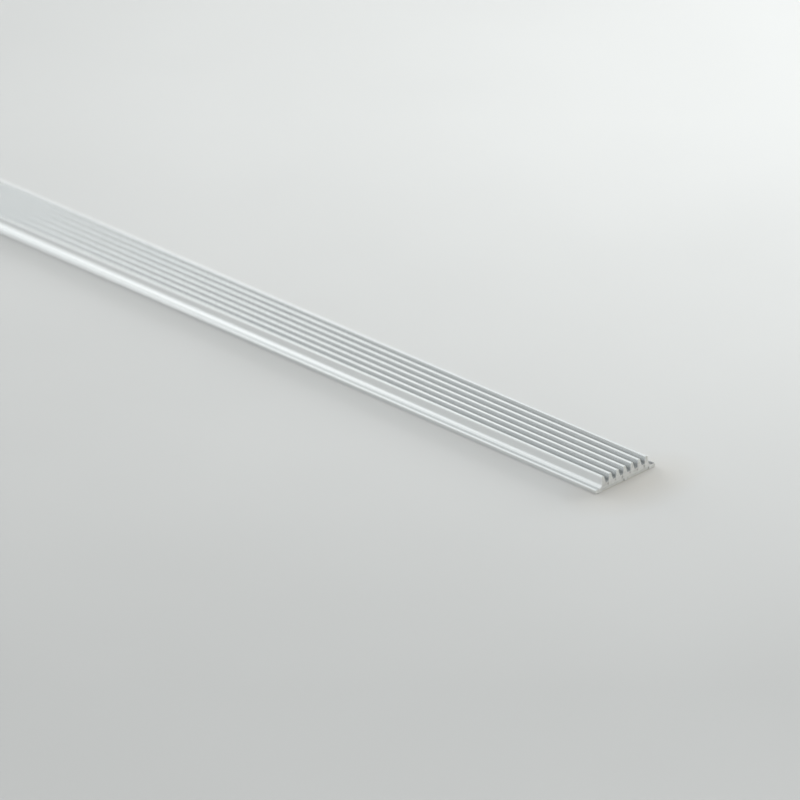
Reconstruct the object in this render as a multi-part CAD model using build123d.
from build123d import *
import os

# Ribbed aluminium threshold strip, self-adhesive, with two tapes and their liners.
# Frame: X runs along the strip, Y across the doorway (front is -Y), +Z up.
# Origin: centre of the strip's footprint, on the plane it stands on.
# All sizes in millimetres.

# ---- extrusion ------------------------------------------------------------
length = 730.0            # stock length for a standard interior doorway
width = 25.0              # over both flanges
height = 4.45             # from the lands (the flats of the underside) to the rib tops

rib_count = 7
rib_pitch = 3.06
rib_top_width = 0.75      # between its two sloping sides at the top, before rounding
rib_root_width = 1.85     # between its two sloping sides at the groove floor
rib_top_radius = 0.44     # leaves only a narrow flat on the top
groove_floor_height = 2.20    # above the lands
groove_floor_radius = 0.12

flange_thickness = 1.20
flange_edge_radius = 0.30     # rounded upper edge, the full length of each side
outer_rib_foot = 0.88         # outer rib: centre line to its outside face at the flange
outer_rib_fillet = 1.10       # concave corner between that face and the flange

land_edge_radius = 0.06
recess_width = 9.30       # shallow channels in the underside for the tape
recess_depth = 0.82
recess_offset = 5.30      # channel centre line from the strip's centre line
recess_corner_radius = 0.08

# ---- tape and liner -------------------------------------------------------
tape_width = 9.10         # the liner is cut to the same width and length
tape_thickness = 0.80
tape_inset = 0.10         # tape ends short of the extrusion's ends by this much
liner_thickness = 0.07

# ---- levels above the standing plane --------------------------------------
# The strip stands on the liners. The tapes lie on them and meet the channel roofs,
# which holds the lands just clear of the plane.
tape_top = liner_thickness + tape_thickness
land_level = tape_top - recess_depth
flange_top = land_level + flange_thickness
groove_floor = land_level + groove_floor_height
rib_top = land_level + height

# Every corner below is (y, z, corner radius).


def underside_corners():
    """Front to rear: land, front channel, middle land, rear channel, land."""
    corners = [(-width / 2, land_level, land_edge_radius)]
    recess_roof = land_level + recess_depth
    for centre in (-recess_offset, recess_offset):
        front = centre - recess_width / 2
        rear = centre + recess_width / 2
        corners += [
            (front, land_level, 0.0),
            (front, recess_roof, recess_corner_radius),
            (rear, recess_roof, recess_corner_radius),
            (rear, land_level, 0.0),
        ]
    corners.append((width / 2, land_level, land_edge_radius))
    return corners


def top_corners():
    """Rear to front: flange, ribs with a groove between each pair, flange."""
    outer_rib = (rib_count - 1) / 2 * rib_pitch
    rib_foot = outer_rib + outer_rib_foot
    corners = [
        (width / 2, flange_top, flange_edge_radius),
        (rib_foot, flange_top, outer_rib_fillet),
    ]
    for k in range(rib_count):
        rib = outer_rib - k * rib_pitch
        if k > 0:  # the groove behind this rib
            groove_rear = rib + rib_pitch - rib_root_width / 2
            groove_front = rib + rib_root_width / 2
            corners += [
                (groove_rear, groove_floor, groove_floor_radius),
                (groove_front, groove_floor, groove_floor_radius),
            ]
        corners += [
            (rib + rib_top_width / 2, rib_top, rib_top_radius),
            (rib - rib_top_width / 2, rib_top, rib_top_radius),
        ]
    corners += [
        (-rib_foot, flange_top, outer_rib_fillet),
        (-width / 2, flange_top, flange_edge_radius),
    ]
    return corners


def ribbed_tread():
    """The extrusion: one rounded cross-section, extruded both ways from mid-length."""
    corners = underside_corners() + top_corners()
    points = [(y, z) for y, z, _ in corners]
    radii = [radius for _, _, radius in corners]
    outline = Plane.YZ * FilletPolyline(*points, radius=radii, close=True)
    return extrude(make_face(outline), amount=length / 2, both=True)


def tape_layer(centre, bottom, top):
    """A flat layer of the tape's width and length, centred on y = centre."""
    layer = Box(length - 2 * tape_inset, tape_width, top - bottom)
    return Pos(0, centre, (bottom + top) / 2) * layer


def mounting_tape(centre):
    """Adhesive tape, up to the channel roof."""
    return tape_layer(centre, liner_thickness, tape_top)


def release_liner(centre):
    """Peel-off liner under a tape."""
    return tape_layer(centre, 0.0, liner_thickness)


parts = {"ribbed_tread": ribbed_tread()}
for side, centre in (("front", -recess_offset), ("rear", recess_offset)):
    parts[f"{side}_mounting_tape"] = mounting_tape(centre)
    parts[f"{side}_release_liner"] = release_liner(centre)

os.makedirs("parts", exist_ok=True)
for name, shape in parts.items():
    export_step(shape, f"parts/{name}.step")
